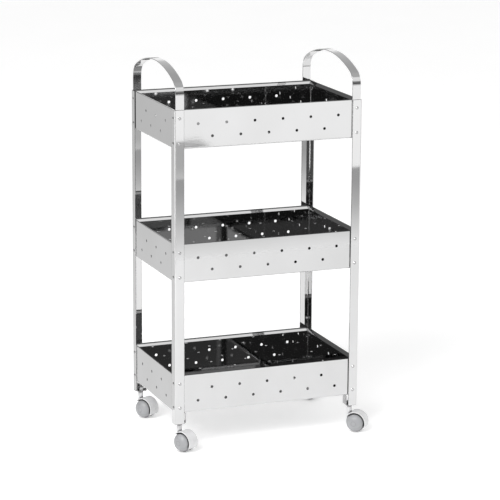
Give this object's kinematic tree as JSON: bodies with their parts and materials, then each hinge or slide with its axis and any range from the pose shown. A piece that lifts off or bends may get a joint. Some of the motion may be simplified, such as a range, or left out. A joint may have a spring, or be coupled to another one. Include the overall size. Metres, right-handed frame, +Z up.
{
  "type": "rolling salon trolley",
  "caption": "Tiered rolling trolley of perforated polished-steel trays on folded angle legs, with arched flat-bar end handles and hooded swivel casters.",
  "frame": {"origin": "on the floor, midway between the four legs", "axes": "+X along the long side, towards the right-hand end; +Y towards the back; +Z up"},
  "size_m": [0.4816, 0.3344, 0.877],
  "materials": {
    "steel_sheet": "mirror-polished stainless steel sheet with fine rub marks",
    "steel_bar": "polished stainless flat bar",
    "rivet": "bright stainless dome rivet",
    "hardware": "zinc-bright steel",
    "hood_plastic": "light grey moulded plastic",
    "wheel_plastic": "mid grey moulded plastic"
  },
  "bodies": {
    "frame": {"leg_front_left": "steel_sheet", "leg_front_right": "steel_sheet", "leg_back_left": "steel_sheet", "leg_back_right": "steel_sheet", "tray_top": "steel_sheet", "tray_middle": "steel_sheet", "tray_bottom": "steel_sheet", "handle_left": "steel_bar", "handle_right": "steel_bar", "rivets_top": "rivet", "rivets_middle": "rivet", "rivets_bottom": "rivet", "spacer_washers": "hardware", "caster_bracket_front_left": "steel_sheet", "caster_bracket_front_right": "steel_sheet", "caster_bracket_back_left": "steel_sheet", "caster_bracket_back_right": "steel_sheet", "caster_stem_front_left": "hardware", "caster_stem_front_right": "hardware", "caster_stem_back_left": "hardware", "caster_stem_back_right": "hardware", "stem_nuts": "hardware"},
    "swivel_front_left": {"caster_hood_front_left": "hood_plastic", "caster_axle_front_left": "hardware", "axle_retainers_front_left": "hardware"},
    "roller_a_front_left": {"wheel_a_front_left": "wheel_plastic", "hub_cap_a_front_left": "wheel_plastic"},
    "roller_b_front_left": {"wheel_b_front_left": "wheel_plastic", "hub_cap_b_front_left": "wheel_plastic"},
    "swivel_front_right": {"caster_hood_front_right": "hood_plastic", "caster_axle_front_right": "hardware", "axle_retainers_front_right": "hardware"},
    "roller_a_front_right": {"wheel_a_front_right": "wheel_plastic", "hub_cap_a_front_right": "wheel_plastic"},
    "roller_b_front_right": {"wheel_b_front_right": "wheel_plastic", "hub_cap_b_front_right": "wheel_plastic"},
    "swivel_back_left": {"caster_hood_back_left": "hood_plastic", "caster_axle_back_left": "hardware", "axle_retainers_back_left": "hardware"},
    "roller_a_back_left": {"wheel_a_back_left": "wheel_plastic", "hub_cap_a_back_left": "wheel_plastic"},
    "roller_b_back_left": {"wheel_b_back_left": "wheel_plastic", "hub_cap_b_back_left": "wheel_plastic"},
    "swivel_back_right": {"caster_hood_back_right": "hood_plastic", "caster_axle_back_right": "hardware", "axle_retainers_back_right": "hardware"},
    "roller_a_back_right": {"wheel_a_back_right": "wheel_plastic", "hub_cap_a_back_right": "wheel_plastic"},
    "roller_b_back_right": {"wheel_b_back_right": "wheel_plastic", "hub_cap_b_back_right": "wheel_plastic"}
  },
  "joints": [
    {"name": "swivel_front_left", "type": "hinge", "parent": "frame", "child": "swivel_front_left", "pos_m": [-0.21075, -0.13775, 0.05], "axis": [0, 0, 1], "continuous": true},
    {"name": "spin_a_front_left", "type": "hinge", "parent": "swivel_front_left", "child": "roller_a_front_left", "pos_m": [-0.20189, -0.15342, 0.0225], "axis": [-0.8704, -0.4924, 0], "continuous": true},
    {"name": "spin_b_front_left", "type": "hinge", "parent": "swivel_front_left", "child": "roller_b_front_left", "pos_m": [-0.20189, -0.15342, 0.0225], "axis": [-0.8704, -0.4924, 0], "continuous": true},
    {"name": "swivel_front_right", "type": "hinge", "parent": "frame", "child": "swivel_front_right", "pos_m": [0.21075, -0.13775, 0.05], "axis": [0, 0, 1], "continuous": true},
    {"name": "spin_a_front_right", "type": "hinge", "parent": "swivel_front_right", "child": "roller_a_front_right", "pos_m": [0.22434, -0.14956, 0.0225], "axis": [-0.6561, -0.7547, 0], "continuous": true},
    {"name": "spin_b_front_right", "type": "hinge", "parent": "swivel_front_right", "child": "roller_b_front_right", "pos_m": [0.22434, -0.14956, 0.0225], "axis": [-0.6561, -0.7547, 0], "continuous": true},
    {"name": "swivel_back_left", "type": "hinge", "parent": "frame", "child": "swivel_back_left", "pos_m": [-0.21075, 0.13775, 0.05], "axis": [0, 0, 1], "continuous": true},
    {"name": "spin_a_back_left", "type": "hinge", "parent": "swivel_back_left", "child": "roller_a_back_left", "pos_m": [-0.20134, 0.1224, 0.0225], "axis": [-0.8526, -0.5225, 0], "continuous": true},
    {"name": "spin_b_back_left", "type": "hinge", "parent": "swivel_back_left", "child": "roller_b_back_left", "pos_m": [-0.20134, 0.1224, 0.0225], "axis": [-0.8526, -0.5225, 0], "continuous": true},
    {"name": "swivel_back_right", "type": "hinge", "parent": "frame", "child": "swivel_back_right", "pos_m": [0.21075, 0.13775, 0.05], "axis": [0, 0, 1], "continuous": true},
    {"name": "spin_a_back_right", "type": "hinge", "parent": "swivel_back_right", "child": "roller_a_back_right", "pos_m": [0.22232, 0.12396, 0.0225], "axis": [-0.766, -0.6428, 0], "continuous": true},
    {"name": "spin_b_back_right", "type": "hinge", "parent": "swivel_back_right", "child": "roller_b_back_right", "pos_m": [0.22232, 0.12396, 0.0225], "axis": [-0.766, -0.6428, 0], "continuous": true}
  ]
}
